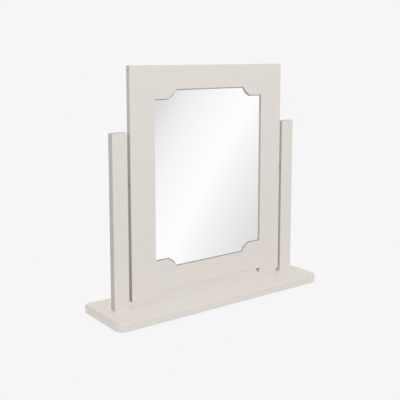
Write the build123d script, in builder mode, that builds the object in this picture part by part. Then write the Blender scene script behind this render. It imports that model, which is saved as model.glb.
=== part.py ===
from build123d import *
import os

# Dressing table swing mirror: a painted frame that tilts between two posts on a base board.
# Millimetres. X runs left to right, the front faces -Y, Z is up. The origin is on the surface
# that the mirror stands on, under the middle of the base board.

os.makedirs("parts", exist_ok=True)

# Base board
base_overhang = 30.5
base_depth = 163.0
base_thickness = 21.0
base_front_radius = 20.0
base_back_radius = 9.0
base_top_round = 5.0
base_bottom_chamfer = 1.5

# Felt pads under the base board
pad_diameter = 20.0
pad_thickness = 2.0
pad_inset_x = 40.0
pad_inset_y = 30.0

# Posts
post_width = 38.0
post_depth = 18.0
post_height = 402.0
post_top_round = 2.5
post_edge_round = 1.2

# Screws and dowels that hold the posts
screw_diameter = 4.0
screw_head_diameter = 8.0
screw_head_height = 2.4
screw_bite = 28.0
screw_spacing = 24.0
screw_hole_clearance = 0.1
recess_width = 0.9
recess_span = 4.4
recess_depth = 1.6
post_dowel_diameter = 6.0
post_dowel_in_base = 12.0
post_dowel_in_post = 20.0
dowel_clearance = 0.05
dowel_end_room = 0.5

# Mirror frame
frame_width = 448.0
frame_height = 536.0
frame_thickness = 14.0
frame_setback = 0.0
frame_ground_gap = 12.0
frame_side_gap = 7.5
frame_edge_round = 1.2
stile_width = 65.1
top_rail_depth = 55.0
bottom_rail_depth = 52.3
foot_length = 11.0
joint_chamfer = 0.2
arris = 0.5

# Stepped corners of the opening
shoulder_length = 36.6
shoulder_depth = 20.9
arc_width = 21.4
arc_bulge = 2.0

# Loose tenons in the frame's joints
tenon_thickness = 5.0
tenon_width = 30.0
tenon_reach = 15.0
tenon_edge = 10.0
tenon_clearance = 0.05
tenon_end_room = 0.5

# Glass, backing panel and the points that hold them
lip_thickness = 4.0
rebate_width = 6.0
glass_thickness = 3.0
glass_clearance = 1.0
backing_thickness = 3.0
backing_clearance = 1.0
point_width = 8.0
point_length = 12.0
point_thickness = 0.5
point_bite = 6.0
point_clearance = 0.05
points_per_stile = 3
points_per_rail = 2

# Pivot
pivot_height = 288.0
pin_diameter = 5.0
pin_in_post = 18.0
pin_in_frame = 17.0
pin_end_chamfer = 0.5
pin_grip_clearance = 0.02
pin_running_clearance = 0.05
bush_diameter = 8.0
bush_length = 20.0
flange_diameter = 10.0
flange_thickness = 0.8
washer_diameter = 10.0
washer_thickness = 1.0
sleeve_diameter = 8.5
thrust_clearance = 0.1
bush_seat_clearance = 0.02

# Heights and depths that follow
base_bottom = pad_thickness
base_top = base_bottom + base_thickness
frame_bottom = base_top + frame_ground_gap
frame_top = frame_bottom + frame_height
pivot_z = base_top + pivot_height
front_y = -post_depth / 2 + frame_setback
back_y = front_y + frame_thickness
pivot_y = front_y + frame_thickness / 2
glass_front_y = front_y + lip_thickness
glass_back_y = glass_front_y + glass_thickness
backing_back_y = glass_back_y + backing_thickness

# Widths that follow
post_inner = frame_width / 2 + frame_side_gap
post_centre = post_inner + post_width / 2
base_width = 2 * (post_inner + post_width + base_overhang)
opening_half = frame_width / 2 - stile_width
opening_top = frame_top - top_rail_depth
rail_bottom = frame_bottom + foot_length
opening_bottom = rail_bottom + bottom_rail_depth
rebate_half = opening_half + rebate_width
rebate_top = opening_top + rebate_width
rebate_bottom = opening_bottom - rebate_width

SIDES = {"left": -1, "right": 1}
made = {}


def keep(builder, name):
    """Label a finished piece and write it to its own file."""
    builder.part.label = name
    export_step(builder.part, f"parts/{name}.step")
    made[name] = builder.part


def side_plane(x, y, z, side):
    """A plane whose normal points outwards along X on that side."""
    return Plane(origin=(x, y, z), x_dir=(0, side, 0), z_dir=(side, 0, 0))


def front_plane(y):
    """The front elevation at depth y: local x is X, local y is Z, and extruding by a
    negative amount goes towards the back."""
    return Plane.XZ.offset(-y)


def screw_places():
    """The two screws in each post, as points on X and Y."""
    return [(side * post_centre + end * screw_spacing / 2, 0)
            for side in SIDES.values() for end in (-1, 1)]


def spread(count, low, high):
    """Evenly spaced places between two ends, each half a space in from its end."""
    step = (high - low) / count
    return [low + step * (i + 0.5) for i in range(count)]


def point_places(side_half, top, bottom):
    """Every glazing point, as (x, z, direction towards the wood)."""
    places = []
    for z in spread(points_per_stile, bottom, top):
        places += [(-side_half, z, (-1, 0)), (side_half, z, (1, 0))]
    for x in spread(points_per_rail, -side_half, side_half):
        places += [(x, top, (0, 1)), (x, bottom, (0, -1))]
    return places


POINTS = point_places(rebate_half, rebate_top, rebate_bottom)


def make_points(extra):
    """The flat points behind the panel, or their slots when extra room is given."""
    inner = point_length - point_bite
    with BuildPart() as points:
        for x, z, (dx, dz) in POINTS:
            along = (point_bite - inner) / 2
            long_x = point_length if dx else point_width
            long_z = point_width if dx else point_length
            with BuildSketch(front_plane(backing_back_y - extra)):
                with Locations((x + dx * along, z + dz * along)):
                    Rectangle(long_x + 2 * extra, long_z + 2 * extra)
            extrude(amount=-(point_thickness + 2 * extra))
    return points


def edges_at(shape, y):
    """The edges of a piece that lie in the plane at depth y."""
    return shape.edges().filter_by_position(Axis.Y, y, y)


def make_tenons(extra, end_room):
    """The loose tenons across the frame's four joints, or their mortises when extra room is
    given. Each stands in from its rail's outer edge, in the middle of the wood's thickness."""
    with BuildPart() as tenons:
        for outer_z, into in ((frame_top, -1), (rail_bottom, 1)):
            middle_z = outer_z + into * (tenon_edge + tenon_width / 2)
            with BuildSketch(front_plane(pivot_y - tenon_thickness / 2 - extra)):
                with Locations(*[(side * opening_half, middle_z) for side in SIDES.values()]):
                    Rectangle(2 * (tenon_reach + end_room), tenon_width + 2 * extra)
            extrude(amount=-(tenon_thickness + 2 * extra))
    return tenons


glazing_points = make_points(0)
keep(glazing_points, "glazing_points")
point_slots = make_points(point_clearance)

rail_tenons = make_tenons(0, 0)
keep(rail_tenons, "rail_tenons")
mortises = make_tenons(tenon_clearance, tenon_end_room)

# Base board: its front corners are rounded more than its back ones. Holes for the screws are
# countersunk from below, and a dowel hole between each pair is blind from above.
with BuildPart() as base_board:
    with BuildSketch(Plane.XY.offset(base_bottom)) as plan:
        Rectangle(base_width, base_depth)
        fillet(plan.vertices().group_by(Axis.Y)[0], base_front_radius)
        fillet(plan.vertices().group_by(Axis.Y)[-1], base_back_radius)
    extrude(amount=base_thickness)
    fillet(base_board.faces().sort_by(Axis.Z)[-1].edges(), base_top_round)
    chamfer(base_board.faces().sort_by(Axis.Z)[0].edges(), base_bottom_chamfer)
    underside = Plane(origin=(0, 0, base_bottom), x_dir=(1, 0, 0), z_dir=(0, 0, -1))
    with Locations(underside):
        with Locations(*screw_places()):
            CounterSinkHole(screw_diameter / 2 + screw_hole_clearance,
                            screw_head_diameter / 2 + screw_hole_clearance, base_thickness)
    with Locations(Plane.XY.offset(base_top)):
        with Locations(*[(side * post_centre, 0) for side in SIDES.values()]):
            Hole(post_dowel_diameter / 2 + dowel_clearance, post_dowel_in_base + dowel_end_room)
keep(base_board, "base_board")

# Felt pads
with BuildPart() as base_pads:
    with BuildSketch(Plane.XY):
        with GridLocations(base_width - 2 * pad_inset_x, base_depth - 2 * pad_inset_y, 2, 2):
            Circle(pad_diameter / 2)
    extrude(amount=pad_thickness)
keep(base_pads, "base_pads")


def make_post(side):
    """A post with its pin hole on the inner face and its fixings' holes in the foot."""
    with BuildPart() as post:
        with BuildSketch(Plane.XY.offset(base_top)):
            with Locations((side * post_centre, 0)):
                Rectangle(post_width, post_depth)
        extrude(amount=post_height)
        fillet(post.edges().filter_by(Axis.Z), post_edge_round)
        fillet(post.faces().sort_by(Axis.Z)[-1].edges(), post_top_round)
        with Locations(side_plane(side * post_inner, pivot_y, pivot_z, -side)):
            Hole(pin_diameter / 2 + pin_grip_clearance, pin_in_post + dowel_end_room)
        foot = Plane(origin=(side * post_centre, 0, base_top), x_dir=(1, 0, 0), z_dir=(0, 0, -1))
        with Locations(foot):
            with GridLocations(screw_spacing, 0, 2, 1):
                Hole(screw_diameter / 2 + screw_hole_clearance, screw_bite + dowel_end_room)
            Hole(post_dowel_diameter / 2 + dowel_clearance, post_dowel_in_post + dowel_end_room)
    return post


for word, side in SIDES.items():
    keep(make_post(side), f"{word}_post")

# Screws: a flat countersunk head with a cross recess, and a plain shank
with BuildPart() as post_screws:
    tip = base_top + screw_bite
    for x, y in screw_places():
        with BuildSketch(Plane(origin=(x, y, 0), x_dir=(1, 0, 0), z_dir=(0, -1, 0))):
            with BuildLine():
                Polyline((0, base_bottom), (screw_head_diameter / 2, base_bottom),
                         (screw_diameter / 2, base_bottom + screw_head_height),
                         (screw_diameter / 2, tip), (0, tip), close=True)
            make_face()
        revolve(axis=Axis((x, y, 0), (0, 0, 1)))
        with BuildSketch(Plane.XY.offset(base_bottom)):
            with Locations((x, y)):
                Rectangle(recess_span, recess_width)
                Rectangle(recess_width, recess_span)
        extrude(amount=recess_depth, mode=Mode.SUBTRACT)
keep(post_screws, "post_screws")

# Locating dowels between base board and posts
with BuildPart() as post_dowels:
    with BuildSketch(Plane.XY.offset(base_top - post_dowel_in_base)):
        with Locations(*[(side * post_centre, 0) for side in SIDES.values()]):
            Circle(post_dowel_diameter / 2)
    extrude(amount=post_dowel_in_base + post_dowel_in_post)
keep(post_dowels, "post_dowels")


def make_stile(side):
    """A full-height side of the frame: rebated behind the opening, mortised for the rails'
    tenons on its inner edge and bored for the pivot bush on its outer edge."""
    middle = side * (opening_half + stile_width / 2)
    inner = side * opening_half
    with BuildPart() as stile:
        with BuildSketch(front_plane(front_y)):
            with Locations((middle, (frame_top + frame_bottom) / 2)):
                Rectangle(stile_width, frame_height)
        extrude(amount=-frame_thickness)
        rims = [e for y in (front_y, back_y) for e in edges_at(stile, y)
                if abs(e.center().X - inner) > stile_width / 4]
        fillet(rims, frame_edge_round)
        front_inner = stile.edges().filter_by(Axis.Z).filter_by_position(Axis.Y, front_y, front_y)
        chamfer(front_inner.sort_by(lambda e: abs(e.center().X - inner))[0], joint_chamfer)
        with BuildSketch(front_plane(glass_front_y)):
            with Locations((inner + side * rebate_width / 2, (rebate_top + rebate_bottom) / 2)):
                Rectangle(rebate_width, rebate_top - rebate_bottom)
        extrude(amount=-frame_thickness, mode=Mode.SUBTRACT)
        add(point_slots.part, mode=Mode.SUBTRACT)
        add(mortises.part, mode=Mode.SUBTRACT)
        with Locations(side_plane(side * frame_width / 2, pivot_y, pivot_z, side)):
            Hole(bush_diameter / 2 + bush_seat_clearance, bush_length + dowel_end_room)
    return stile


for word, side in SIDES.items():
    keep(make_stile(side), f"{word}_stile")


def make_rail(outer_z, edge_z, into):
    """A rail between the stiles. Its inner edge steps towards the glass at each end by the
    shoulder and comes back to the straight edge in a shallow arc; into is +1 or -1 along Z
    from the outer edge towards the glass."""
    shoulder_z = edge_z + into * shoulder_depth
    shoulder_x = opening_half - shoulder_length
    arc_x = shoulder_x - arc_width
    with BuildPart() as rail:
        with BuildSketch(front_plane(front_y)):
            with BuildLine():
                Polyline((-arc_x, edge_z), (arc_x, edge_z))
                SagittaArc((arc_x, edge_z), (shoulder_x, shoulder_z), into * arc_bulge)
                Polyline((shoulder_x, shoulder_z), (opening_half, shoulder_z), (opening_half, outer_z),
                         (-opening_half, outer_z), (-opening_half, shoulder_z),
                         (-shoulder_x, shoulder_z))
                SagittaArc((-shoulder_x, shoulder_z), (-arc_x, edge_z), into * arc_bulge)
            make_face()
        extrude(amount=-frame_thickness)
        outer = [e for y in (front_y, back_y) for e in edges_at(rail, y)
                 if abs(e.center().Z - outer_z) < arris]
        fillet(outer, frame_edge_round)
        front = edges_at(rail, front_y)
        shoulders = [e for e in front if abs(abs(e.center().X) - opening_half) < arris]
        inner = [e for e in front if abs(e.center().X) < opening_half - arris
                 and (e.center().Z - edge_z) * into > -arris]
        chamfer(shoulders + inner, joint_chamfer)
        with BuildSketch(front_plane(glass_front_y)):
            reach = shoulder_depth + rebate_width
            with Locations((0, edge_z + into * (reach / 2 - rebate_width))):
                Rectangle(2 * opening_half, reach)
        extrude(amount=-frame_thickness, mode=Mode.SUBTRACT)
        add(point_slots.part, mode=Mode.SUBTRACT)
        add(mortises.part, mode=Mode.SUBTRACT)
    return rail


keep(make_rail(frame_top, opening_top, -1), "top_rail")
keep(make_rail(rail_bottom, opening_bottom, 1), "bottom_rail")

# Glass and backing panel stand on the bottom of the rebate
with BuildPart() as mirror_glass:
    with BuildSketch(front_plane(glass_front_y)):
        with Locations((0, (rebate_top + rebate_bottom - glass_clearance) / 2)):
            Rectangle(2 * (rebate_half - glass_clearance),
                      rebate_top - rebate_bottom - glass_clearance)
    extrude(amount=-glass_thickness)
keep(mirror_glass, "mirror_glass")

with BuildPart() as backing_panel:
    with BuildSketch(front_plane(glass_back_y)):
        with Locations((0, (rebate_top + rebate_bottom - backing_clearance) / 2)):
            Rectangle(2 * (rebate_half - backing_clearance),
                      rebate_top - rebate_bottom - backing_clearance)
    extrude(amount=-backing_thickness)
keep(backing_panel, "backing_panel")


def ring(name, start, side, outer, bore, length):
    """A plain ring on the pivot's axis, from a place on X outwards."""
    with BuildPart() as piece:
        with BuildSketch(side_plane(start, pivot_y, pivot_z, side)):
            Circle(outer)
            Circle(bore, mode=Mode.SUBTRACT)
        extrude(amount=length)
    keep(piece, name)


def make_pin(side):
    """A steel pin from inside the stile's bush to inside the post."""
    start = side * (frame_width / 2 - pin_in_frame)
    with BuildPart() as pin:
        with BuildSketch(side_plane(start, pivot_y, pivot_z, side)):
            Circle(pin_diameter / 2)
        extrude(amount=pin_in_frame + frame_side_gap + pin_in_post)
        chamfer(pin.edges().filter_by(GeomType.CIRCLE), pin_end_chamfer)
    return pin


def make_bush(side):
    """A flanged bush pressed into the stile's outer edge, in which the pin turns."""
    face = side * frame_width / 2
    with BuildPart() as bush:
        with BuildSketch(side_plane(face, pivot_y, pivot_z, side)):
            Circle(bush_diameter / 2)
        extrude(amount=-bush_length)
        with BuildSketch(side_plane(face, pivot_y, pivot_z, side)):
            Circle(flange_diameter / 2)
        extrude(amount=flange_thickness)
        with Locations(side_plane(face + side * flange_thickness, pivot_y, pivot_z, side)):
            Hole(pin_diameter / 2 + pin_running_clearance, bush_length + flange_thickness)
    return bush


for word, side in SIDES.items():
    keep(make_pin(side), f"{word}_pivot_pin")
    keep(make_bush(side), f"{word}_pivot_bush")
    washer_start = frame_width / 2 + flange_thickness + thrust_clearance
    sleeve_start = washer_start + washer_thickness
    ring(f"{word}_thrust_washer", side * washer_start, side, washer_diameter / 2,
         pin_diameter / 2 + pin_grip_clearance, washer_thickness)
    ring(f"{word}_friction_sleeve", side * sleeve_start, side, sleeve_diameter / 2,
         pin_diameter / 2 + pin_grip_clearance, post_inner - sleeve_start)

print(len(made), "pieces, overall height", round(frame_top, 2))
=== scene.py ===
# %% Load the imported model
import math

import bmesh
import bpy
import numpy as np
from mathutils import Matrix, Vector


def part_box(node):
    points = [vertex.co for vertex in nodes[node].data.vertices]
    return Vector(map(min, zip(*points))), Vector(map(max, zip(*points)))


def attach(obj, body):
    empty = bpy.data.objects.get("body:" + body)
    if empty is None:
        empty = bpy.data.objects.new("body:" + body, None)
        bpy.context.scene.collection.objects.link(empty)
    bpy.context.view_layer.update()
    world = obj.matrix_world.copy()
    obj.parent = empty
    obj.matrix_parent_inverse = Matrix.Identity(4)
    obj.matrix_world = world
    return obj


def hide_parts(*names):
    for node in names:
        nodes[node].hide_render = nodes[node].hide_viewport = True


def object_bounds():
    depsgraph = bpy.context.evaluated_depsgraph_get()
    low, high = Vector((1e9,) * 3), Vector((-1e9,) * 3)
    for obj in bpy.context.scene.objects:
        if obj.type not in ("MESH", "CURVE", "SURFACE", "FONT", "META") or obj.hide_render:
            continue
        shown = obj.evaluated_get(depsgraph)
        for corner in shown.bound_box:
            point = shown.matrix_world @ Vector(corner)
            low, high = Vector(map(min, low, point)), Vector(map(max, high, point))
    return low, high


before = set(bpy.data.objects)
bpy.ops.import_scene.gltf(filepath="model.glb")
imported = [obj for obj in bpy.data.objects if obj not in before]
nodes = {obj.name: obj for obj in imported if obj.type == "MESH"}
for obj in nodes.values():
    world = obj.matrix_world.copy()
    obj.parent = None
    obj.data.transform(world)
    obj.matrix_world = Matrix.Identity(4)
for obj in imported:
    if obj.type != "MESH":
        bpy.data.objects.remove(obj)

# %% [markdown]
# A dressing table swing mirror. The joiner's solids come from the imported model, in metres, with X
# to the right, the front facing -Y and Z up. Two bodies move against each other: the stand (base
# board and posts) and the mirror frame, which tilts on two hidden pins. This lesson adds what the
# solids don't have: the silvered glass and its border, the glazing tabs and felt pads in full
# detail, the paint and metal finishes, and the studio around them.

MM = 0.001
cad_low, cad_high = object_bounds()
glass_low, glass_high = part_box("mirror_glass")
print("CAD box", [round(v, 4) for v in (*cad_low, *cad_high)])

# %% [markdown]
# Each new shape is worked out with numpy, as whole arrays of points, and then put into a mesh. A
# few helpers do this for every piece. A grid that is capped or flipped can come out inside out, so
# a closed piece has its faces turned outwards when it is made.

# %% Helpers for meshes
def mesh_piece(name, points, faces, smooth=True):
    """A new object at the origin whose mesh holds the points (n by 3) and the faces."""
    mesh = bpy.data.meshes.new(name)
    mesh.from_pydata(np.asarray(points, float).tolist(), [], [list(map(int, f)) for f in faces])
    mesh.validate()
    mesh.polygons.foreach_set("use_smooth", np.full(len(mesh.polygons), smooth))
    piece = bpy.data.objects.new(name, mesh)
    bpy.context.scene.collection.objects.link(piece)
    return piece


def closed_piece(name, shell, smooth=False):
    """A piece from the points and faces of a closed shell, with its faces turned outwards."""
    piece = mesh_piece(name, *shell, smooth)
    shape = bmesh.new()
    shape.from_mesh(piece.data)
    bmesh.ops.recalc_face_normals(shape, faces=shape.faces)
    shape.to_mesh(piece.data)
    shape.free()
    return piece


def loop_band(rows, columns):
    """Quads between neighbouring rows of a grid whose columns run round a closed loop. The point
    in row i and column j is number i * columns + j."""
    row = np.arange(rows - 1)[:, None] * columns
    here = np.arange(columns)[None, :]
    beyond = (here + 1) % columns
    quads = [row + here, row + beyond, row + columns + beyond, row + columns + here]
    return np.stack(quads, -1).reshape(-1, 4)


def shelled(rows):
    """Points and faces of a closed shell from rows of a grid (rows, columns, 3): a band between
    the rows, and a flat cap on the first and the last of them."""
    count, columns = rows.shape[:2]
    first = np.arange(columns)
    last = first + (count - 1) * columns
    faces = loop_band(count, columns).tolist() + [first[::-1].tolist(), last.tolist()]
    return rows.reshape(-1, 3), faces


def at_depth(flat, y):
    """Points of the front elevation, given as X and Z, at one depth."""
    return np.stack([flat[:, 0], np.full(len(flat), y), flat[:, 1]], 1)


print("mesh helpers ready")

# %% [markdown]
# The mirror is a 3 mm pane with its sharp edges ground off. A cube with a Bevel modifier could
# make it, but its rounded corners and its finer arrises need two different widths. So a rounded
# rectangle is carried through the pane's thickness and drawn in a little at the front and the
# back. It takes the place of the plain slab that the solids have.

# %% The pane of the mirror
pane_arris = 0.6 * MM
pane_corner = 1.5 * MM
corner_steps = 6


def rounded_rectangle(low_x, high_x, low_z, high_z, radius):
    """Points round a rectangle whose corners are quarter circles of that radius: each corner's
    centre plus the radius along an angle that runs through 90 degrees."""
    centres = np.array([[high_x - radius, high_z - radius], [low_x + radius, high_z - radius],
                        [low_x + radius, low_z + radius], [high_x - radius, low_z + radius]])
    turns = np.radians(np.arange(4)[:, None] * 90 + np.linspace(0, 90, corner_steps)[None, :])
    around = np.stack([np.cos(turns), np.sin(turns)], -1) * radius
    return (centres[:, None, :] + around).reshape(-1, 2)


def slab(low, high, arris, corner):
    """A flat panel between two corners: four copies of its outline through the thickness, the
    first and the last drawn in by the arris."""
    rows = []
    for y, inset in ((low.y, arris), (low.y + arris, 0), (high.y - arris, 0), (high.y, arris)):
        flat = rounded_rectangle(low.x + inset, high.x - inset, low.z + inset, high.z - inset, corner)
        rows.append(at_depth(flat, y))
    return shelled(np.array(rows))


mirror_pane = closed_piece("mirror_pane", slab(glass_low, glass_high, pane_arris, pane_corner))
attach(mirror_pane, "mirror_frame")
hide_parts("mirror_glass")
print("pane", [round(v, 4) for v in mirror_pane.dimensions])

# %% [markdown]
# All round the opening a thin grey line lies on the glass. It is painted shade: it stands for the
# shadowed gap where the frame's lip meets the glass, and for that gap's reflection. It could be a
# mask in the glass's material, but it follows the frame's steps and arcs, and a shape of its own
# keeps its edges crisp. So the opening's outline is worked out first, as straight runs and four
# shallow arcs.

# %% The outline of the opening
shoulder_length = 36.6 * MM
shoulder_depth = 20.9 * MM
arc_width = 21.4 * MM
arc_bulge = 2.0 * MM
arc_steps = 10
top_rail_depth = 55 * MM
bottom_rail_depth = 52.3 * MM
opening_half = -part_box("left_stile")[1].x
opening_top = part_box("top_rail")[1].z - top_rail_depth
opening_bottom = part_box("bottom_rail")[0].z + bottom_rail_depth


def arc_height(share):
    """How far an arc stands off its chord at a share of its length, with 1 in the middle."""
    return 4 * share * (1 - share)


def corner_run(edge_z, into):
    """One end of a rail's inner edge, from the stile inwards: the straight shoulder, then an arc
    whose middle stands off its chord by the bulge. A point of the arc is on the chord at its
    share, moved square to the chord by the bulge times the arc's height there."""
    start = np.array([opening_half - shoulder_length, edge_z + into * shoulder_depth])
    end = np.array([opening_half - shoulder_length - arc_width, edge_z])
    along = end - start
    square = np.array([along[1], -along[0]]) / np.linalg.norm(along)
    square *= np.sign(square[1] * into)
    share = np.linspace(0, 1, arc_steps)[:, None]
    arc = start + share * along + arc_bulge * arc_height(share) * square
    return np.concatenate([[[opening_half, start[1]]], arc])


def opening_outline():
    """The whole outline, anticlockwise as seen from the front, starting at the right."""
    low = corner_run(opening_bottom, 1)
    high = corner_run(opening_top, -1)
    flip = np.array([-1, 1])
    return np.concatenate([high, high[::-1] * flip, low * flip, low[::-1]])


outline = opening_outline()
print("outline points", len(outline), "opening", round(opening_bottom, 4), "to", round(opening_top, 4))

# %% [markdown]
# A second outline is drawn in from the first by the line's width, measured square to each run. The
# border is the strip between them, with a thickness that the eye doesn't see but the mesh needs. As
# in the photograph, the line is narrower along the stiles than along the rails, and it is widest
# in the middle of each arc.

# %% The border on the glass
border_width = 2.7 * MM
border_side_share = 0.45
border_swell = (0.9, 0.35)
border_lift = 0.05 * MM


def drawn_in(outline, width):
    """The same outline moved inwards. Each point goes along the sum of its two neighbouring runs'
    inward normals, far enough that each run moves by the full width."""
    runs = np.roll(outline, -1, 0) - outline
    runs /= np.linalg.norm(runs, axis=1)[:, None]
    inward = np.stack([-runs[:, 1], runs[:, 0]], 1)
    before = np.roll(inward, 1, 0)
    return outline + width * (inward + before) / (1 + (inward * before).sum(1))[:, None]


corner_swell = np.concatenate([[0], arc_height(np.linspace(0, 1, arc_steps))])
swell = np.concatenate([corner_swell, corner_swell[::-1]] * 2)[:, None] * border_swell
width_share = swell + (border_side_share, 1)
inner_outline = outline + (drawn_in(outline, border_width) - outline) * width_share

section = [(outline, 0), (outline, border_lift), (inner_outline, border_lift), (inner_outline, 0)]
border_points = np.concatenate([at_depth(flat, glass_low.y - lift) for flat, lift in section])
border_faces = loop_band(len(section) + 1, len(outline)) % len(border_points)
# The line of painted shade on the glass, as a closed piece of its own.
painted_shade_border = closed_piece("painted_shade_border", (border_points, border_faces))
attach(painted_shade_border, "mirror_frame")
print("border faces", len(painted_shade_border.data.polygons))

# %% [markdown]
# The backing panel is held by thin steel tabs, pressed into the wall of the rebate. They sit where
# the solids' plain ones do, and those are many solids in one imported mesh. So a helper takes the
# mesh apart into its loose solids and gives the corners of each.

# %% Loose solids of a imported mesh
same_place = 0.01 * MM


def separate_solids(piece):
    """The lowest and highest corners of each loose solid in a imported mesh: points that share a
    face or a place are taken together by spreading the smallest number among them."""
    points = np.empty(len(piece.data.vertices) * 3, np.float32)
    piece.data.vertices.foreach_get("co", points)
    points = points.reshape(-1, 3)
    cells = np.round(points / same_place).astype(int)
    group = np.unique(cells, axis=0, return_inverse=True)[1].ravel()
    corners = np.empty(len(piece.data.loops), int)
    piece.data.loops.foreach_get("vertex_index", corners)
    faces = group[corners.reshape(-1, 3)]
    label = np.arange(group.max() + 1)
    while True:
        smallest = label[faces].min(1)
        spread = label.copy()
        for corner in faces.T:
            np.minimum.at(spread, corner, smallest)
        spread = spread[spread]
        if (spread == label).all():
            break
        label = spread
    of_point = label[group]
    return [(points[of_point == n].min(0), points[of_point == n].max(0)) for n in np.unique(of_point)]


def joined(shells):
    """Several (points, faces) shells as one."""
    points, faces, start = [], [], 0
    for some_points, some_faces in shells:
        points.append(some_points)
        faces += [[start + n for n in face] for face in some_faces]
        start += len(some_points)
    return np.concatenate(points), faces


tab_boxes = separate_solids(nodes["glazing_points"])
pad_boxes = separate_solids(nodes["base_pads"])
print("tabs", len(tab_boxes), "pads", len(pad_boxes))

# %% [markdown]
# Each tab is a pointed strip with a rib stamped along its middle. A box with a few loop cuts would
# do from afar, but one formula shapes them all: a flat sheet whose half width narrows towards the
# point, and a second copy behind it, at the steel's thickness, that rises in a soft ridge.

# %% The glazing tabs
tab_thickness = 0.5 * MM
tab_bite = 6 * MM
tab_steps_along, tab_steps_across = 15, 13
point_share, point_blunt = 0.4, 0.04
round_share, round_blunt = 0.2, 0.05
rib_height = 0.35 * MM
rib_width = 1.1 * MM
rib_start, rib_end = 0.12, 0.15


def tab_shell(low, high):
    """One tab between two corners. Along its length, s runs from the end over the panel (0) to the
    point in the wood (1). The half width is full up to three fifths of the length and then narrows
    in a straight line, and the end over the panel is rounded. Across, the back rises by the rib's
    bell curve, which fades out at the rounded end and before the part that is in the wood."""
    centre, size = (low + high) / 2, high - low
    along_x = size[0] > size[2]
    length, half = (size[0], size[2] / 2) if along_x else (size[2], size[0] / 2)
    outward = np.sign(centre[0] if along_x else centre[2] - (glass_low.z + glass_high.z) / 2)
    s = np.linspace(0, 1, tab_steps_along)[:, None]
    across = np.linspace(-1, 1, tab_steps_across)[None, :]
    taper = np.clip((1 - s) / point_share, point_blunt, 1)
    rounded = np.sqrt(np.clip(1 - (1 - np.clip(s / round_share, 0, 1)) ** 2, round_blunt, 1))
    place = across * (half * np.minimum(taper, rounded))
    to_bite = (s * length - (length - tab_bite)) / (rib_end * length)
    rib = (1 - np.clip(to_bite + 1, 0, 1)) * np.clip(s / rib_start, 0, 1)
    rise = rib_height * np.exp(-(place / rib_width) ** 2) * rib
    run = outward * (s - 0.5) * length + 0 * across
    front = low[1] + 0 * run
    ahead = np.stack([run, front, place] if along_x else [place, front, run], -1)
    behind = ahead.copy()
    behind[..., 1] += tab_thickness + rise
    points = np.concatenate([ahead.reshape(-1, 3), behind.reshape(-1, 3)])
    number = np.arange(run.size).reshape(run.shape)
    quads = [number[:-1, :-1], number[:-1, 1:], number[1:, 1:], number[1:, :-1]]
    sheet = np.stack(quads, -1).reshape(-1, 4)
    rim = np.concatenate([number[0], number[1:, -1], number[-1, -2::-1], number[-2:0:-1, 0]])
    beyond = np.roll(rim, -1)
    wall = np.stack([rim, beyond, beyond + run.size, rim + run.size], 1)
    faces = np.concatenate([sheet, sheet[:, ::-1] + run.size, wall]).tolist()
    return points + (centre[0], 0, centre[2]), faces


glazing_tabs = closed_piece("glazing_tabs", joined([tab_shell(*box) for box in tab_boxes]))
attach(glazing_tabs, "mirror_frame")
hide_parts("glazing_points")
print("tab faces", len(glazing_tabs.data.polygons))

# %% [markdown]
# Four felt pads keep the base board off the table top. Cut felt has a soft, slightly ragged rim,
# for which a plain cylinder is too even. So each pad is a lathe profile with rounded edges, whose
# radius wanders with the angle by a few waves of different lengths.

# %% The felt pads
pad_edge = 0.6 * MM
pad_ragged = 0.16 * MM
pad_waves = (5, 11, 23)
pad_steps = 72
pad_edge_steps = 4


def pad_shell(low, high, number):
    """One felt pad: rings of points at the radius plus a wander, which is the mean of three sines
    of the angle, less one. The sines' phases differ from pad to pad, so that no two are alike."""
    centre, radius = (low + high) / 2, (high[0] - low[0]) / 2
    angle = np.linspace(0, 2 * np.pi, pad_steps, endpoint=False)
    wander = sum(np.sin(k * angle + number * k) for k in pad_waves) / len(pad_waves) - 1
    tilt = np.radians(np.linspace(90, 0, pad_edge_steps))
    inset = pad_edge * (1 - np.cos(tilt))
    climb = pad_edge * (1 - np.sin(tilt))
    insets = np.concatenate([inset, inset[::-1]])
    heights = np.concatenate([low[2] + climb, high[2] - climb[::-1]])
    ring = (radius + pad_ragged * wander)[None, :] - insets[:, None]
    rows = np.stack([centre[0] + ring * np.cos(angle), centre[1] + ring * np.sin(angle),
                     np.repeat(heights[:, None], pad_steps, 1)], -1)
    return shelled(rows)


pads = joined([pad_shell(*box, number) for number, box in enumerate(pad_boxes)])
felt_pads = closed_piece("felt_pads", pads, smooth=True)
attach(felt_pads, "stand")
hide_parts("base_pads")
print("pad faces", len(felt_pads.data.polygons))

# %% [markdown]
# Every finish is a material made of shader nodes. They could be wired by hand in the editor, but
# as code they can be read and repeated. Helpers keep that code short: each makes one node, and
# wires or sets its inputs in the same line.

# %% Helpers for shader nodes
def node(tree, kind, into=None, **settings):
    """One shader node: settings are its properties, and into maps each input's name or number to
    a socket that is linked or a constant that is set."""
    made = tree.nodes.new(kind)
    for key, value in settings.items():
        setattr(made, key, value)
    for key, value in (into or {}).items():
        if isinstance(value, bpy.types.NodeSocket):
            tree.links.new(value, made.inputs[key])
        else:
            made.inputs[key].default_value = value
    return made


def calc(tree, operation, *values):
    """The result of a Math node on one to three sockets or numbers."""
    return node(tree, "ShaderNodeMath", dict(enumerate(values)), operation=operation).outputs[0]


def vector(tree, operation, *values):
    """The vector that a Vector Math node gives."""
    return node(tree, "ShaderNodeVectorMath", dict(enumerate(values)), operation=operation).outputs[0]


def axes(tree, place):
    """The X, Y and Z of a place, as three sockets."""
    return node(tree, "ShaderNodeSeparateXYZ", {0: place}).outputs[:3]


def ramp(tree, value, start, end, low=0.0, high=1.0):
    """A value taken smoothly from start..end to low..high."""
    return node(tree, "ShaderNodeMapRange", {0: value, 1: start, 2: end, 3: low, 4: high},
                interpolation_type="SMOOTHSTEP").outputs[0]


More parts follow.
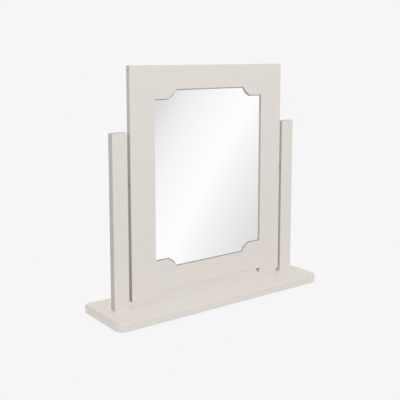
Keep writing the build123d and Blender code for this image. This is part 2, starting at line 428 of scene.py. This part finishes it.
def noise(tree, place, scale, detail=2.0, rough=0.5, distortion=0.0):
    """A noise value between 0 and 1 at a place, with that many cells per unit."""
    return node(tree, "ShaderNodeTexNoise", {"Vector": place, "Scale": scale, "Detail": detail,
                "Roughness": rough, "Distortion": distortion}).outputs[0]


def two_colours(tree, share, first, second):
    """The first colour at share 0 and the second at share 1."""
    return node(tree, "ShaderNodeMix", {0: share, 6: first, 7: second}, data_type="RGBA").outputs[2]


def relief(tree, height, depth, under=None):
    """A normal from a height between 0 and 1 that stands for a relief of that depth in metres."""
    into = {"Height": height, "Distance": depth, "Strength": 1.0}
    if under is not None:
        into["Normal"] = under
    return node(tree, "ShaderNodeBump", into).outputs[0]


print("node helpers ready")

# %% [markdown]
# An effect such as grain shows on many pieces. Its nodes could be copied into every material, but
# then each change would have to be made many times. A node group is built once and placed where it
# is needed, with values of its own. Three more helpers open a group, place one, and start a
# finish with its Principled shader, and a fourth gives the finish to its pieces.

# %% Helpers for groups and finishes
def open_group(name, inputs, outputs):
    """A node group with named sockets: its tree, and its input's and output's sockets."""
    tree = bpy.data.node_groups.new(name, "ShaderNodeTree")
    for label, kind, value in inputs:
        socket = tree.interface.new_socket(label, in_out="INPUT", socket_type="NodeSocket" + kind)
        socket.default_value = value
    for label, kind in outputs:
        tree.interface.new_socket(label, in_out="OUTPUT", socket_type="NodeSocket" + kind)
    return tree, tree.nodes.new("NodeGroupInput").outputs, tree.nodes.new("NodeGroupOutput").inputs


def effect(tree, group, into):
    """A placed node group's outputs. The map names its inputs."""
    return node(tree, "ShaderNodeGroup", into, node_tree=group).outputs


def finish(name, **constants):
    """A material with one Principled shader, whose constants go straight onto its sockets. Gives
    the material, its tree, the shader's inputs and the Object coordinates."""
    material = bpy.data.materials.new(name)
    material.use_nodes = True
    tree = material.node_tree
    shader = tree.nodes["Principled BSDF"]
    for key, value in constants.items():
        shader.inputs[key.replace("_", " ")].default_value = value
    return material, tree, shader.inputs, tree.nodes.new("ShaderNodeTexCoord").outputs["Object"]


def dress(material, *pieces):
    """Gives each piece one material, and says so."""
    for piece in pieces:
        piece.data.materials.clear()
        piece.data.materials.append(material)
    print(material.name, "on", [piece.name for piece in pieces])


print("group and finish helpers ready")

# %% [markdown]
# The wood is painted in a satin off-white. Up close such paint isn't flat: the grain below shows
# through as fine streaks along each member, open pores sink a little, and the sprayed film has a
# slight orange peel. Pictures of paint could show it, but they would need each member unwrapped,
# and noises don't. The first group reads the place on the piece, stretched along the grain, through
# two noises. The second is the film: its peel, and a slow drift of its tone.

# %% Shared effects: grain and sprayed film
finer_pores = (4.3, 4.3, 4.3)
peel_cells, fine_peel_cells, drift_cells = 520.0, 2100.0, 9.0
fine_peel_share = 0.35

grain_group, given, gives = open_group(
    "grain through paint",
    [("Place", "Vector", (0, 0, 0)), ("Stretch", "Vector", (1, 1, 1))],
    [("Streaks", "Float"), ("Pores", "Float")])
stretched = vector(grain_group, "MULTIPLY", given["Place"], given["Stretch"])
streaks = noise(grain_group, stretched, 1.0, detail=5.0, rough=0.6, distortion=0.35)
specks = noise(grain_group, vector(grain_group, "MULTIPLY", stretched, finer_pores), 1.0)
grain_group.links.new(streaks, gives["Streaks"])
grain_group.links.new(ramp(grain_group, specks, 0.56, 0.68), gives["Pores"])

film_group, given, gives = open_group(
    "sprayed film", [("Place", "Vector", (0, 0, 0))], [("Peel", "Float"), ("Drift", "Float")])
coarse = noise(film_group, given["Place"], peel_cells, rough=0.45)
fine = noise(film_group, given["Place"], fine_peel_cells, detail=1.0)
peel = calc(film_group, "ADD", coarse, calc(film_group, "MULTIPLY", fine, fine_peel_share))
film_group.links.new(calc(film_group, "DIVIDE", peel, 1 + fine_peel_share), gives["Peel"])
drift = noise(film_group, given["Place"], drift_cells, detail=3.0)
film_group.links.new(ramp(film_group, drift, 0.3, 0.7), gives["Drift"])
print("groups", [group.name for group in bpy.data.node_groups])

# %% [markdown]
# On the arrises the paint is rubbed paler, and paler still as a painted highlight where the rounded
# arrises catch the light. Blender's Pointiness finds edges only on a dense mesh, and these members
# have few points, so the mask is worked out from each member's box. On a squared member's surface
# one of the three distances to the faces is nought, and the second smallest is the distance to the
# edge. The middle one of three numbers is max(min(a, b), min(max(a, b), c)).

# %% Shared effect: the distance to a member's arris
wobble_cells, wobble_share = 160.0, 1.2

arris_group, given, gives = open_group(
    "arris of a squared member",
    [("Place", "Vector", (0, 0, 0)), ("Centre", "Vector", (0, 0, 0)), ("Half", "Vector", (1, 1, 1)),
     ("Width", "Float", 2 * MM)],
    [("Arris", "Float")])
from_centre = vector(arris_group, "SUBTRACT", given["Place"], given["Centre"])
to_faces = vector(arris_group, "SUBTRACT", given["Half"], vector(arris_group, "ABSOLUTE", from_centre))
to_side, to_front, to_top = axes(arris_group, to_faces)
larger = calc(arris_group, "MAXIMUM", to_side, to_front)
middle = calc(arris_group, "MAXIMUM", calc(arris_group, "MINIMUM", to_side, to_front),
              calc(arris_group, "MINIMUM", larger, to_top))
ragged = calc(arris_group, "MULTIPLY_ADD", noise(arris_group, given["Place"], wobble_cells, detail=3.0),
              calc(arris_group, "MULTIPLY", given["Width"], wobble_share), middle)
widths = calc(arris_group, "DIVIDE", ragged, given["Width"])
arris_group.links.new(ramp(arris_group, widths, 0.3, 1.5, 1.0, 0.0), gives["Arris"])
print("group", arris_group.name)

# %% [markdown]
# The posts and stiles stand upright, and that shows on them. Their top ends are painted darker, most
# of all on the posts, which look so in the photograph. This could be a second material on the end
# faces, but a mask that compares the height with the top's also takes in the softened edge, with no
# seam.

# %% Shared effect: darker top ends
top_end_depth = 0.5 * MM

top_end_group, given, gives = open_group(
    "darker top end", [("Place", "Vector", (0, 0, 0)), ("Top", "Float", 0.0)], [("Top end", "Float")])
past_top = calc(top_end_group, "SUBTRACT", axes(top_end_group, given["Place"])[2], given["Top"])
top_end_group.links.new(ramp(top_end_group, past_top, -top_end_depth, -top_end_depth / 2), gives["Top end"])
print("group", top_end_group.name)

# %% [markdown]
# Painted shade darkens the uprights' inner sides where narrow places keep the light out: on the
# frame's feet right under the bottom rail, and on the posts right under those feet. Their outer
# sides get a little painted shade towards the board, the frame's more than the posts', because they
# face a narrow gap. It could be painted by hand, side by side, but a mask only has to compare the
# place with a few levels. The distance from the middle tells the inner side from the outer one. The
# ceiling is the underside of the piece above the narrow place, and the shade's own levels are
# measured up from it, so they are negative. "Only under the frame" at 1 keeps this shade to the
# depth that the frame takes up, and thins it towards the front.

# %% Shared effect: painted shade in narrow places
side_depth = 0.3 * MM
thick_shade, thin_share, front_share = 0.72, 0.25, 0.1
thin_level, thick_level = -7 * MM, -3.5 * MM
ceiling_blur = 1 * MM
front_unshaded, front_shaded = -8 * MM, 3 * MM
back_shaded, back_unshaded = 6 * MM, 9 * MM
lower_shade_low, lower_shade_high = 60 * MM, 400 * MM

# A mask of painted shade: darker in the narrow places under the rail and the feet, and low on the outer
# sides.
crease_shade_group, given, gives = open_group(
    "painted crease shade",
    [("Place", "Vector", (0, 0, 0)), ("Inner side", "Float", 0.0), ("Outer side", "Float", 1.0),
     ("Ceiling", "Float", 0.0), ("Only under the frame", "Float", 0.0), ("Lower shade", "Float", 0.0)],
    [("Painted shade", "Float")])
x, y, z = axes(crease_shade_group, given["Place"])
from_middle = calc(crease_shade_group, "ABSOLUTE", x)
past_ceiling = calc(crease_shade_group, "SUBTRACT", z, given["Ceiling"])
thick = calc(crease_shade_group, "MULTIPLY",
             ramp(crease_shade_group, past_ceiling, thin_level, thick_level, thin_share, 1.0),
             ramp(crease_shade_group, past_ceiling, -ceiling_blur, ceiling_blur, 1.0, 0.0))
under_frame = calc(crease_shade_group, "MULTIPLY",
                   ramp(crease_shade_group, y, front_unshaded, front_shaded, front_share, 1.0),
                   ramp(crease_shade_group, y, back_shaded, back_unshaded, 1.0, 0.0))
kept = calc(crease_shade_group, "MULTIPLY_ADD", calc(crease_shade_group, "SUBTRACT", under_frame, 1.0),
            given["Only under the frame"], 1.0)
inner_shade = calc(crease_shade_group, "MULTIPLY", calc(crease_shade_group, "MULTIPLY", thick, kept), thick_shade)
outer_shade = calc(crease_shade_group, "MULTIPLY", ramp(crease_shade_group, z, lower_shade_low, lower_shade_high, 1.0, 0.0),
                  given["Lower shade"])
on_inner = calc(crease_shade_group, "COMPARE", from_middle, given["Inner side"], side_depth)
on_outer = calc(crease_shade_group, "COMPARE", from_middle, given["Outer side"], side_depth)
both_sides = calc(crease_shade_group, "MULTIPLY_ADD", on_inner, inner_shade,
                  calc(crease_shade_group, "MULTIPLY", on_outer, outer_shade))
crease_shade_group.links.new(both_sides, gives["Painted shade"])
print("group", crease_shade_group.name)

# %% [markdown]
# One paint material could serve all the wood, but the grain runs along each member and the masks
# need its size and place. So each painted member gets its own, with the groups' values taken from
# its box. Grain is wide across the member and long along it, so the stretch is large across and
# small along.

# %% The paint
paint_body = (0.715, 0.685, 0.642, 1)
paint_warm = (0.728, 0.683, 0.640, 1)
paint_pore = (0.600, 0.562, 0.510, 1)
# Paler paint on the arrises: rubbed wear, and a painted highlight.
paint_arris_wear_and_highlight = (0.800, 0.772, 0.730, 1)
# A darker colour for the top ends of the posts and stiles.
paint_darker_top = (0.470, 0.445, 0.410, 1)
# The colour of the painted shade in the narrow places.
paint_crease_shade = (0.13, 0.125, 0.115, 1)
darker_top_share = {"post": 1.0, "stile": 0.4}
lower_shade_share = {"post": 0.14, "stile": 0.26}
cells_across, cells_along = 230.0, 7.0
arris_width = 1.4 * MM
arris_wear_and_highlight, arris_polish = 0.6, 0.06
pore_share, pore_sink = 0.16, 0.5
paint_rough, streak_rough = 0.36, 0.16
grain_relief, peel_relief = 0.10 * MM, 0.035 * MM


def upright_marks(tree, place, name, wear_and_painted_light):
    """The colour of an upright with its darker top end and its painted shade. The shade's ceiling is
    the piece right above the narrow place: the bottom rail for a stile, the frame's foot for a post."""
    low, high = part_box(name)
    kind = name.split("_")[1]
    inner, outer = sorted((abs(low.x), abs(high.x)))
    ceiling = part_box("bottom_rail" if kind == "stile" else "left_stile")[0].z
    top_end = effect(tree, top_end_group, {"Place": place, "Top": high.z})["Top end"]
    crease_shade = effect(tree, crease_shade_group, {"Place": place, "Inner side": inner, "Outer side": outer,
                                     "Ceiling": ceiling, "Only under the frame": float(kind == "post"),
                                     "Lower shade": lower_shade_share[kind]})["Painted shade"]
    darker = calc(tree, "MULTIPLY", top_end, darker_top_share[kind])
    return two_colours(tree, crease_shade, two_colours(tree, darker, wear_and_painted_light, paint_darker_top), paint_crease_shade)


def stone_paint(name, along):
    """Satin paint for one member, with the grain along that axis (0 for X, 2 for Z)."""
    low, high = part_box(name)
    material, tree, shader, place = finish("stone paint on " + name, IOR=1.42)
    stretch = [cells_across] * 3
    stretch[along] = cells_along
    grain = effect(tree, grain_group, {"Place": place, "Stretch": stretch})
    film = effect(tree, film_group, {"Place": place})
    arris = effect(tree, arris_group, {"Place": place, "Centre": (low + high) / 2,
                                       "Half": (high - low) / 2, "Width": arris_width})["Arris"]
    body = two_colours(tree, film["Drift"], paint_body, paint_warm)
    poured = two_colours(tree, calc(tree, "MULTIPLY", grain["Pores"], pore_share), body, paint_pore)
    wear_and_painted_light = two_colours(tree, calc(tree, "MULTIPLY", arris, arris_wear_and_highlight), poured, paint_arris_wear_and_highlight)
    if along == 2:
        wear_and_painted_light = upright_marks(tree, place, name, wear_and_painted_light)
    rough = calc(tree, "MULTIPLY_ADD", grain["Streaks"], streak_rough, paint_rough)
    smoother = calc(tree, "SUBTRACT", rough, calc(tree, "MULTIPLY", arris, arris_polish))
    height = calc(tree, "MULTIPLY_ADD", grain["Pores"], -pore_sink, grain["Streaks"])
    normal = relief(tree, film["Peel"], peel_relief, under=relief(tree, height, grain_relief))
    tree.links.new(wear_and_painted_light, shader["Base Color"])
    tree.links.new(smoother, shader["Roughness"])
    tree.links.new(normal, shader["Normal"])
    return material


grain_axis = {"base_board": 0, "left_post": 2, "right_post": 2, "left_stile": 2, "right_stile": 2,
              "top_rail": 0, "bottom_rail": 0}
for name, along in grain_axis.items():
    dress(stone_paint(name, along), nodes[name])

# %% [markdown]
# The pane is silvered at the back, so from the front it is a mirror. Clear glass over a metal
# sheet would be truer, but it looks almost the same and takes longer to render, so the front is a
# metal surface. The ground rim and the painted back aren't, and two thresholds on the depth tell
# them apart. A cloth leaves the faintest arcs of haze, which show as a wandering of an almost
# nought roughness.

# %% The mirror
silver = (0.958, 0.958, 0.958, 1)
ground_rim = (0.35, 0.46, 0.42, 1)
back_paint = (0.16, 0.165, 0.17, 1)
face_depth = 0.1 * MM
wipe_stretch = (14, 1, 5)
haze_low, haze_high = 0.004, 0.022
unsilvered_rough = 0.55

mirror_finish, tree, shader, place = finish("silvered glass", IOR=1.52)
depth = axes(tree, place)[1]
silvered = calc(tree, "LESS_THAN", depth, glass_low.y + face_depth)
behind = calc(tree, "GREATER_THAN", depth, glass_high.y - face_depth)
wiped = noise(tree, vector(tree, "MULTIPLY", place, wipe_stretch), 1.0,
              detail=4.0, rough=0.55, distortion=1.6)
haze = ramp(tree, wiped, 0.45, 0.75, haze_low, haze_high)
matt = calc(tree, "MULTIPLY", calc(tree, "SUBTRACT", 1.0, silvered), unsilvered_rough)
unsilvered = two_colours(tree, behind, ground_rim, back_paint)
tree.links.new(two_colours(tree, silvered, unsilvered, silver), shader["Base Color"])
tree.links.new(silvered, shader["Metallic"])
tree.links.new(calc(tree, "MAXIMUM", haze, matt), shader["Roughness"])
dress(mirror_finish, mirror_pane)

# %% [markdown]
# The border is painted shade: a grey that stands for the shadowed gap at the frame's lip. A pane in
# front of it would show it through glass, but it lies on the pane here, so the grey is given a clear
# coat instead. One noise clouds its tone and a finer one adds specks.

# %% The border of painted shade
# Greys of the painted shade line, with a clouded tone and specks.
border_grey = (0.39, 0.38, 0.365, 1)
border_dark = (0.32, 0.31, 0.295, 1)
cloud_cells, speck_cells = 60.0, 900.0

border_finish, tree, shader, place = finish(
    "painted shade on glass", IOR=1.5, Coat_Weight=0.5, Coat_Roughness=0.05)
cloudy = ramp(tree, noise(tree, place, cloud_cells, detail=3.0), 0.35, 0.65)
speck = ramp(tree, noise(tree, place, speck_cells, detail=1.0), 0.6, 0.72)
darker = calc(tree, "MAXIMUM", cloudy, speck)
tree.links.new(two_colours(tree, darker, border_grey, border_dark), shader["Base Color"])
tree.links.new(ramp(tree, speck, 0.0, 1.0, 0.5, 0.7), shader["Roughness"])
dress(border_finish, painted_shade_border)

# %% [markdown]
# Hardboard is wet-pressed wood fibre. Its smooth side goes to the glass, and the screen that it
# was pressed on leaves a fine square mesh on the side that shows at the back. Real dents would
# take a very dense mesh, so they are relief in the material. Two sine waves at a right angle make
# it, and three noises the fibres, the flecks and the darker bands.

# %% The hardboard panel
mesh_pitch = 1.6 * MM
mesh_relief, fibre_relief = 0.12 * MM, 0.08 * MM
fibre_stretch = (900, 900, 260)
fleck_cells, band_cells = 420.0, 14.0
fleck_share = 0.6
board_brown = (0.235, 0.135, 0.072, 1)
board_light = (0.33, 0.205, 0.118, 1)
board_fleck = (0.11, 0.062, 0.035, 1)

panel_finish, tree, shader, place = finish("hardboard", IOR=1.45, Sheen_Weight=0.05)
x, _, z = axes(tree, place)
turn = 2 * math.pi / mesh_pitch
waves = calc(tree, "MULTIPLY", calc(tree, "SINE", calc(tree, "MULTIPLY", x, turn)),
             calc(tree, "SINE", calc(tree, "MULTIPLY", z, turn)))
screen = calc(tree, "MULTIPLY_ADD", waves, 0.5, 0.5)
fibre = noise(tree, vector(tree, "MULTIPLY", place, fibre_stretch), 1.0,
              detail=3.0, rough=0.6, distortion=0.8)
fleck = ramp(tree, noise(tree, place, fleck_cells, rough=0.6), 0.6, 0.7)
band = ramp(tree, noise(tree, place, band_cells, detail=3.0), 0.3, 0.7)
tone = calc(tree, "MULTIPLY", calc(tree, "ADD", fibre, band), 0.5)
brown = two_colours(tree, tone, board_brown, board_light)
flecked = two_colours(tree, calc(tree, "MULTIPLY", fleck, fleck_share), brown, board_fleck)
tree.links.new(flecked, shader["Base Color"])
tree.links.new(ramp(tree, fibre, 0.2, 0.8, 0.62, 0.85), shader["Roughness"])
pressed = relief(tree, screen, mesh_relief)
tree.links.new(relief(tree, fibre, fibre_relief, under=pressed), shader["Normal"])
dress(panel_finish, nodes["backing_panel"])

# %% [markdown]
# The small metal and plastic pieces share one effect, turning lines: rings that a lathe leaves,
# close together along the axis of the pin. Modelled grooves would be finer than any view shows, so
# a noise makes them, squeezed until it reads almost only the distance along that axis. The same
# group serves pins, washers, bushes and sleeves.

# %% Shared effect: turning lines
turning_squeeze = (1, 0.02, 0.02)

turning_group, given, gives = open_group(
    "turning lines",
    [("Place", "Vector", (0, 0, 0)), ("Lines per metre", "Float", 6000.0)], [("Lines", "Float")])
squeezed = vector(turning_group, "MULTIPLY", given["Place"], turning_squeeze)
turning_group.links.new(noise(turning_group, squeezed, given["Lines per metre"]), gives["Lines"])
print("group", turning_group.name)

# %% [markdown]
# Steel pins and washers, nylon bushes and rubber sleeves differ in their tone, their gloss and the
# number of their lines, and in little else that shows at this size. So three materials that are
# wired alike come from one function.

# %% The finishes of the pivot
mottle_cells, mottle_dark = 300.0, 0.82
line_rough, line_relief = 0.2, 0.02 * MM


def turned(name, colour, metallic, rough, lines, **constants):
    """A finish for a small turned or moulded piece: turning lines in its roughness and relief,
    and a mottled tone from a noise a few millimetres across."""
    material, tree, shader, place = finish(name, Metallic=metallic, **constants)
    rings = effect(tree, turning_group, {"Place": place, "Lines per metre": lines})["Lines"]
    mottle = ramp(tree, noise(tree, place, mottle_cells, detail=3.0, rough=0.55), 0.35, 0.7)
    darker = tuple(mottle_dark * v for v in colour[:3]) + (1,)
    tree.links.new(two_colours(tree, mottle, colour, darker), shader["Base Color"])
    tree.links.new(calc(tree, "MULTIPLY_ADD", rings, line_rough, rough), shader["Roughness"])
    tree.links.new(relief(tree, rings, line_relief), shader["Normal"])
    return material


steel = turned("turned steel", (0.42, 0.42, 0.42, 1), metallic=1.0, rough=0.26, lines=5000.0)
nylon = turned("moulded nylon", (0.68, 0.67, 0.63, 1), metallic=0.0, rough=0.42, lines=1500.0, IOR=1.53)
rubber = turned("grey rubber", (0.36, 0.35, 0.33, 1), metallic=0.0, rough=0.66, lines=2200.0, IOR=1.5)
for side in ("left", "right"):
    dress(steel, nodes[side + "_pivot_pin"], nodes[side + "_thrust_washer"])
    dress(nylon, nodes[side + "_pivot_bush"])
    dress(rubber, nodes[side + "_friction_sleeve"])

# %% [markdown]
# The screws and the tabs are zinc plated. Zinc freezes in small crystals, which reflect a little
# differently from each other. A noise would blur them into each other, so a cell pattern gives
# each crystal its own tone, and a noise only scratches it.

# %% The zinc plating
zinc_dark = (0.56, 0.57, 0.59, 1)
zinc_bright = (0.70, 0.71, 0.73, 1)
crystal_cells = 900.0
scratch_stretch = (4000, 4000, 300)
zinc_rough, crystal_rough, scratch_rough = 0.2, 0.1, 0.25
scratch_relief = 0.01 * MM

zinc_finish, tree, shader, place = finish("zinc plating", Metallic=1.0)
crystal = node(tree, "ShaderNodeTexVoronoi", {"Vector": place, "Scale": crystal_cells}).outputs["Color"]
tone = node(tree, "ShaderNodeSeparateColor", {0: crystal}).outputs[0]
scratch = noise(tree, vector(tree, "MULTIPLY", place, scratch_stretch), 1.0)
rough = calc(tree, "MULTIPLY_ADD", tone, crystal_rough, zinc_rough)
tree.links.new(two_colours(tree, tone, zinc_dark, zinc_bright), shader["Base Color"])
tree.links.new(calc(tree, "MULTIPLY_ADD", scratch, scratch_rough, rough), shader["Roughness"])
tree.links.new(relief(tree, scratch, scratch_relief), shader["Normal"])
dress(zinc_finish, nodes["post_screws"], glazing_tabs)

# %% [markdown]
# The dowels and the loose tenons are bare beech, which has a straight fine grain and short dark
# flecks, its rays. The paint's grain group already gives streaks and pores, so it is placed here
# too, with a finer stretch, and one more noise makes the rays.

# %% The bare beech
beech_pale = (0.60, 0.41, 0.25, 1)
beech_light = (0.70, 0.52, 0.34, 1)
beech_ray = (0.42, 0.26, 0.15, 1)
beech_stretch, ray_stretch = (500, 500, 40), (1500, 1500, 300)
ray_share = 0.5
beech_relief = 0.05 * MM

beech_finish, tree, shader, place = finish("bare beech", IOR=1.45)
grain = effect(tree, grain_group, {"Place": place, "Stretch": beech_stretch})
short = noise(tree, vector(tree, "MULTIPLY", place, ray_stretch), 1.0, detail=1.0)
ray = calc(tree, "MULTIPLY", ramp(tree, short, 0.62, 0.7), ray_share)
streaked = two_colours(tree, grain["Streaks"], beech_pale, beech_light)
tree.links.new(two_colours(tree, ray, streaked, beech_ray), shader["Base Color"])
tree.links.new(ramp(tree, grain["Pores"], 0.0, 1.0, 0.5, 0.7), shader["Roughness"])
tree.links.new(relief(tree, grain["Streaks"], beech_relief), shader["Normal"])
dress(beech_finish, nodes["post_dowels"], nodes["rail_tenons"])

# %% [markdown]
# Felt is a mat of short hairs that lie in every direction. Real hairs would be far too many for
# pads under a board, so a strongly distorted noise stands for them, a coarser one clumps them, and
# sheen gives the soft pale rim that hairs have against the light.

# %% The felt
felt_dark = (0.20, 0.17, 0.14, 1)
felt_light = (0.42, 0.37, 0.31, 1)
hair_cells, clump_cells = 2600.0, 500.0
hair_stretch = (1, 1, 2.5)
hair_relief = 0.25 * MM

felt_finish, tree, shader, place = finish("pressed felt", Sheen_Weight=0.35, Sheen_Roughness=0.5, IOR=1.4)
hairs = noise(tree, vector(tree, "MULTIPLY", place, hair_stretch), hair_cells,
              detail=4.0, rough=0.7, distortion=2.5)
clump = noise(tree, place, clump_cells)
tone = calc(tree, "MULTIPLY", calc(tree, "ADD", hairs, clump), 0.5)
tree.links.new(two_colours(tree, tone, felt_dark, felt_light), shader["Base Color"])
tree.links.new(ramp(tree, clump, 0.3, 0.7, 0.85, 0.98), shader["Roughness"])
tree.links.new(relief(tree, hairs, hair_relief), shader["Normal"])
dress(felt_finish, felt_pads)

# %% [markdown]
# The object stands on a plain pale floor that runs into a backdrop of the same tone. A floor that
# is only lit would show a line where it ends. So to the camera this one gives off the backdrop's
# tone, less a trace of contact shadow from the ambient occlusion. To the wood it gives the room's
# light, much more of it just beyond the two ends of the board, which a pale table top lights from
# below, and a little more right in front of the board and behind it. From under the floor it is
# clear, so that the underside can be looked at too.

# %% Floor and backdrop
backdrop_tone = 0.9216
room_tone = 0.52
floor_reach = 8.0
contact_reach = 50 * MM
contact_share = 0.03
bounce_tone, front_bounce = 1.08, 0.10
bounce_start, bounce_reach = 18 * MM, 55 * MM

corners = np.array([[-1, -1, 0], [1, -1, 0], [1, 1, 0], [-1, 1, 0]]) * floor_reach
floor = mesh_piece("studio_floor", corners, [[0, 1, 2, 3]])
floor_look = bpy.data.materials.new("studio floor")
floor_look.use_nodes = True
tree = floor_look.node_tree
tree.nodes.clear()

open_sky = node(tree, "ShaderNodeAmbientOcclusion", {"Distance": contact_reach}, samples=16).outputs["AO"]
shown = ramp(tree, open_sky, 0.0, 1.0, backdrop_tone * (1 - contact_share), backdrop_tone)
place = tree.nodes.new("ShaderNodeTexCoord").outputs["Object"]
past_edges = vector(tree, "SUBTRACT", vector(tree, "ABSOLUTE", place), cad_high)
past_x, past_y, _ = axes(tree, past_edges)
end_band = calc(tree, "MULTIPLY", ramp(tree, past_x, bounce_start, bounce_reach, 1.0, 0.0),
                ramp(tree, past_y, 0.0, bounce_reach, 1.0, 0.0))
beside = calc(tree, "MULTIPLY", ramp(tree, past_x, 0.0, bounce_start), end_band)
along_board = calc(tree, "MULTIPLY", ramp(tree, past_x, 0.0, bounce_start, 1.0, 0.0),
                   ramp(tree, past_y, 0.0, bounce_reach, front_bounce, 0.0))
even = calc(tree, "ADD", along_board, room_tone)
thrown_up = calc(tree, "MULTIPLY_ADD", beside, bounce_tone, even)

rays = tree.nodes.new("ShaderNodeLightPath").outputs
to_wood = node(tree, "ShaderNodeEmission", {"Strength": thrown_up}).outputs[0]
to_camera = node(tree, "ShaderNodeEmission", {"Strength": shown}).outputs[0]
from_above = node(tree, "ShaderNodeMixShader", {0: rays["Is Camera Ray"], 1: to_wood, 2: to_camera})
clear = node(tree, "ShaderNodeBsdfTransparent").outputs[0]
below = tree.nodes.new("ShaderNodeNewGeometry").outputs["Backfacing"]
surface = node(tree, "ShaderNodeMixShader", {0: below, 1: from_above.outputs[0], 2: clear}).outputs[0]
node(tree, "ShaderNodeOutputMaterial", {"Surface": surface})
dress(floor_look, floor)
floor.visible_glossy = False

# %% [markdown]
# What a mirror shows is what stands around it. In a studio that is a wall of soft light with
# paler and greyer parts, which give the glass its slanting pale band. Panels round the object could
# give it too, but the world's shader does all of this with nothing in the way. The camera sees the
# backdrop's tone. The wood gets a dimmer, slightly warm room light, a little stronger from the
# left. Reflections see pale bands across one slanting direction: before its crest a band climbs
# with the power 1.5 of the distance, and far from it a little steeper still. Past the crest it
# falls off straight, so its far side looks crisper. Nothing is darker than a least tone.

# %% The world: backdrop, room light and what the mirror sees
band_aim = (0.883, 0.0, -0.470)
band_crest, band_flat = 0.602, 0.0064
band_before, band_after = 0.11, 0.13
band_peak, band_least = 1.026, 0.74
band_power, band_climb, band_fall = 1.5, 9.4, 3.67
band_outer, band_outer_drop = 0.056, 0.105
lean_aim = (-0.97, 0.0, 0.23)
room_lean = 0.235
room_tint = (1.0, 0.985, 0.955, 1)
white = (1, 1, 1, 1)


def share_towards(tree, direction, aim):
    """How far a direction points towards an aim: their dot product."""
    return node(tree, "ShaderNodeVectorMath", {0: direction, 1: aim},
                operation="DOT_PRODUCT").outputs["Value"]


world = bpy.data.worlds.new("studio")
bpy.context.scene.world = world
world.use_nodes = True
tree = world.node_tree
direction = tree.nodes.new("ShaderNodeTexCoord").outputs["Generated"]
repeated = calc(tree, "WRAP", share_towards(tree, direction, band_aim), band_crest + band_after,
                band_crest - band_before)
past_crest = calc(tree, "SUBTRACT", repeated, band_crest)
before_crest = calc(tree, "MAXIMUM", calc(tree, "MULTIPLY", past_crest, -1.0), 0.0)
climb = calc(tree, "POWER", before_crest, band_power)
outer = ramp(tree, before_crest, band_outer, band_before, 0.0, band_outer_drop)
past_flat = calc(tree, "MAXIMUM", calc(tree, "SUBTRACT", past_crest, band_flat), 0.0)
fall = calc(tree, "MULTIPLY", past_flat, band_fall)
near_side = calc(tree, "MULTIPLY_ADD", climb, -band_climb, calc(tree, "SUBTRACT", band_peak, outer))
bands = calc(tree, "MAXIMUM", calc(tree, "SUBTRACT", near_side, fall), band_least)
lean = calc(tree, "MAXIMUM", share_towards(tree, direction, lean_aim), 0.0)
room = calc(tree, "MULTIPLY_ADD", lean, room_lean, room_tone)

rays = tree.nodes.new("ShaderNodeLightPath").outputs
level = node(tree, "ShaderNodeMix", {0: rays["Is Glossy Ray"], 2: room, 3: bands}).outputs[0]
level = node(tree, "ShaderNodeMix", {0: rays["Is Camera Ray"], 2: level, 3: backdrop_tone}).outputs[0]
background = tree.nodes["Background"]
seen = calc(tree, "MAXIMUM", rays["Is Camera Ray"], rays["Is Glossy Ray"])
tree.links.new(two_colours(tree, seen, room_tint, white), background.inputs["Color"])
tree.links.new(level, background.inputs["Strength"])
print("world nodes", len(tree.nodes))

# %% [markdown]
# Two large softboxes finish the light. One stands in front, above the frame, and lifts the front
# faces and the board's top over the faces that look left. A weaker one behind keeps the back from
# going dull. Both are a touch cool against the warm room. A sun lamp would throw the hard shadows
# that the photograph doesn't have. It has next to none at all, so neither softbox throws one: the
# creases get theirs from the even room light. The Standard view shows the tones as they are.

# %% Softboxes
softbox_tint = (0.985, 0.996, 1.015)
softbox_size = 1.2
softbox_aim = (0, 0, cad_high.z / 2)


def softbox(name, place, power):
    """A square area light at a place, turned to its aim, that throws no shadow and isn't mirrored."""
    lamp = bpy.data.lights.new(name, "AREA")
    lamp.size = softbox_size
    lamp.energy = power
    lamp.use_shadow = False
    lamp.color = softbox_tint
    holder = bpy.data.objects.new(name, lamp)
    holder.location = place
    holder.rotation_euler = (Vector(place) - Vector(softbox_aim)).to_track_quat("Z", "Y").to_euler()
    holder.visible_glossy = False
    bpy.context.scene.collection.objects.link(holder)
    print(name, "at", place, "with", power, "W")


softbox("front_softbox", place=(-0.12, -3.1, 1.9), power=60.5)
softbox("back_softbox", place=(0.1, 2.4, 1.7), power=28.5)
bpy.context.scene.view_settings.view_transform = "Standard"

# %% [markdown]
# The camera stands to the left, a little above the top of the frame, and looks slightly down.
# The photograph's upright edges are all parallel, as with a level camera whose lens is slid down
# in its mount. That would take a large shift, which cuts the object's top when the camera goes
# round to other sides. A small shift with a small tilt comes within three pixels of it everywhere.

# %% Camera
camera_place = (-1.0266, -1.3483, 0.5969)
camera_turn = 36.591
camera_tilt = 7.900
camera_lens = 63.918
camera_sensor = 36.0
camera_shift = -0.12

camera = bpy.data.objects.new("photo_camera", bpy.data.cameras.new("photo_camera"))
bpy.context.scene.collection.objects.link(camera)
camera.location = camera_place
camera.rotation_euler = (math.radians(90 - camera_tilt), 0, math.radians(-camera_turn))
camera.data.sensor_width = camera_sensor
camera.data.lens = camera_lens
camera.data.shift_y = camera_shift
bpy.context.scene.camera = camera
print("camera at", camera_place, "lens", camera_lens, "mm")
